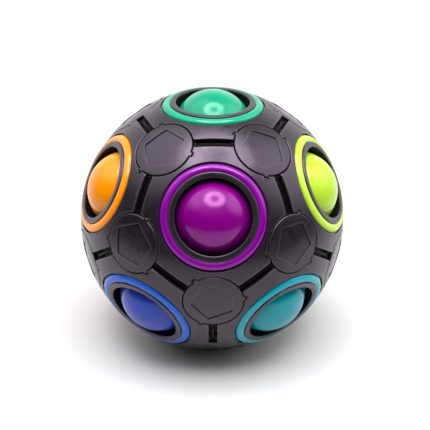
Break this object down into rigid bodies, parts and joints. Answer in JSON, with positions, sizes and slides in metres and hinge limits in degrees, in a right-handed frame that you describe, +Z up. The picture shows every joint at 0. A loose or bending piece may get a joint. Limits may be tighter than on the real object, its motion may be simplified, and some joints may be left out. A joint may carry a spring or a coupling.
{
  "type": "push-ball sphere puzzle",
  "caption": "Hollow sphere of black panels with ringed holes, coloured balls and corner caps; one hole is empty, so a ball beside it can be pressed in and moved into it.",
  "frame": {"origin": "centre of the bottom of the object's box, on the axis of its bottom hole, in the plane of the flat lip that it stands on", "axes": "+Z up along the axis of the top hole (teal ring), -Y towards the hole with the purple ring, +X to the right when it is seen from the purple side"},
  "size_m": [0.07, 0.07, 0.0697],
  "materials": {
    "shell_black": "satin moulded black ABS",
    "cap_black": "satin moulded black ABS",
    "inner_black": "matt moulded black ABS",
    "ring_teal": "glossy moulded ABS",
    "ring_purple": "glossy moulded ABS",
    "ring_lime": "glossy moulded ABS",
    "ring_yellow": "glossy moulded ABS",
    "ring_red": "glossy moulded ABS",
    "ring_orange": "glossy moulded ABS",
    "ring_cyan": "glossy moulded ABS",
    "ring_green": "glossy moulded ABS",
    "ring_grey": "glossy moulded ABS",
    "ring_pink": "glossy moulded ABS",
    "ring_blue": "glossy moulded ABS",
    "ring_white": "glossy moulded ABS",
    "ball_teal": "semi-gloss moulded ABS",
    "ball_purple": "semi-gloss moulded ABS",
    "ball_lime": "semi-gloss moulded ABS",
    "ball_yellow": "semi-gloss moulded ABS",
    "ball_red": "semi-gloss moulded ABS",
    "ball_orange": "semi-gloss moulded ABS",
    "ball_cyan": "semi-gloss moulded ABS",
    "ball_green": "semi-gloss moulded ABS",
    "ball_pink": "semi-gloss moulded ABS",
    "ball_blue": "semi-gloss moulded ABS",
    "ball_white": "semi-gloss moulded ABS"
  },
  "bodies": {
    "shell": {"panel_teal": "shell_black", "panel_purple": "shell_black", "panel_lime": "shell_black", "panel_yellow": "shell_black", "panel_red": "shell_black", "panel_orange": "shell_black", "panel_cyan": "shell_black", "panel_green": "shell_black", "panel_grey": "shell_black", "panel_pink": "shell_black", "panel_blue": "shell_black", "panel_white": "shell_black", "ring_teal": "ring_teal", "ring_purple": "ring_purple", "ring_lime": "ring_lime", "ring_yellow": "ring_yellow", "ring_red": "ring_red", "ring_orange": "ring_orange", "ring_cyan": "ring_cyan", "ring_green": "ring_green", "ring_grey": "ring_grey", "ring_pink": "ring_pink", "ring_blue": "ring_blue", "ring_white": "ring_white", "corner_cap_01": "cap_black", "corner_cap_02": "cap_black", "corner_cap_03": "cap_black", "corner_cap_04": "cap_black", "corner_cap_05": "cap_black", "corner_cap_06": "cap_black", "corner_cap_07": "cap_black", "corner_cap_08": "cap_black", "corner_cap_09": "cap_black", "corner_cap_10": "cap_black", "corner_cap_11": "cap_black", "corner_cap_12": "cap_black", "corner_cap_13": "cap_black", "corner_cap_14": "cap_black", "corner_cap_15": "cap_black", "corner_cap_16": "cap_black", "corner_cap_17": "cap_black", "corner_cap_18": "cap_black", "corner_cap_19": "cap_black", "corner_cap_20": "cap_black", "cap_washers": "inner_black"},
    "core": {"core_ball": "inner_black"},
    "travelling_ball": {"ball_white": "ball_white"},
    "teal_ball": {"ball_teal": "ball_teal"},
    "purple_ball": {"ball_purple": "ball_purple"},
    "lime_ball": {"ball_lime": "ball_lime"},
    "yellow_ball": {"ball_yellow": "ball_yellow"},
    "red_ball": {"ball_red": "ball_red"},
    "orange_ball": {"ball_orange": "ball_orange"},
    "cyan_ball": {"ball_cyan": "ball_cyan"},
    "green_ball": {"ball_green": "ball_green"},
    "pink_ball": {"ball_pink": "ball_pink"},
    "blue_ball": {"ball_blue": "ball_blue"}
  },
  "joints": [
    {"name": "press_teal_ball", "type": "slide", "parent": "shell", "child": "teal_ball", "axis": [0, 0, -1], "range_m": [0, 0.0044]},
    {"name": "press_purple_ball", "type": "slide", "parent": "shell", "child": "purple_ball", "axis": [0, 0.8944, -0.4472], "range_m": [0, 0.0044]},
    {"name": "press_lime_ball", "type": "slide", "parent": "shell", "child": "lime_ball", "axis": [-0.8507, 0.2764, -0.4472], "range_m": [0, 0.0044]},
    {"name": "press_yellow_ball", "type": "slide", "parent": "shell", "child": "yellow_ball", "axis": [-0.5257, -0.7236, -0.4472], "range_m": [0, 0.0044]},
    {"name": "press_red_ball", "type": "slide", "parent": "shell", "child": "red_ball", "axis": [0.5257, -0.7236, -0.4472], "range_m": [0, 0.0044]},
    {"name": "press_orange_ball", "type": "slide", "parent": "shell", "child": "orange_ball", "axis": [0.8507, 0.2764, -0.4472], "range_m": [0, 0.0044]},
    {"name": "press_cyan_ball", "type": "slide", "parent": "shell", "child": "cyan_ball", "axis": [-0.5257, 0.7236, 0.4472], "range_m": [0, 0.0044]},
    {"name": "press_green_ball", "type": "slide", "parent": "shell", "child": "green_ball", "axis": [-0.8507, -0.2764, 0.4472], "range_m": [0, 0.0044]},
    {"name": "press_pink_ball", "type": "slide", "parent": "shell", "child": "pink_ball", "axis": [0.8507, -0.2764, 0.4472], "range_m": [0, 0.0044]},
    {"name": "press_blue_ball", "type": "slide", "parent": "shell", "child": "blue_ball", "axis": [0.5257, 0.7236, 0.4472], "range_m": [0, 0.0044]},
    {"name": "travel_round_core", "type": "hinge", "parent": "shell", "child": "core", "pos_m": [0, 0, 0.03346], "axis": [1, 0, 0], "range_deg": [0, 63.44]},
    {"name": "seat_travelling_ball", "type": "slide", "parent": "core", "child": "travelling_ball", "axis": [0, 0, -1], "range_m": [0, 0.00479]}
  ]
}
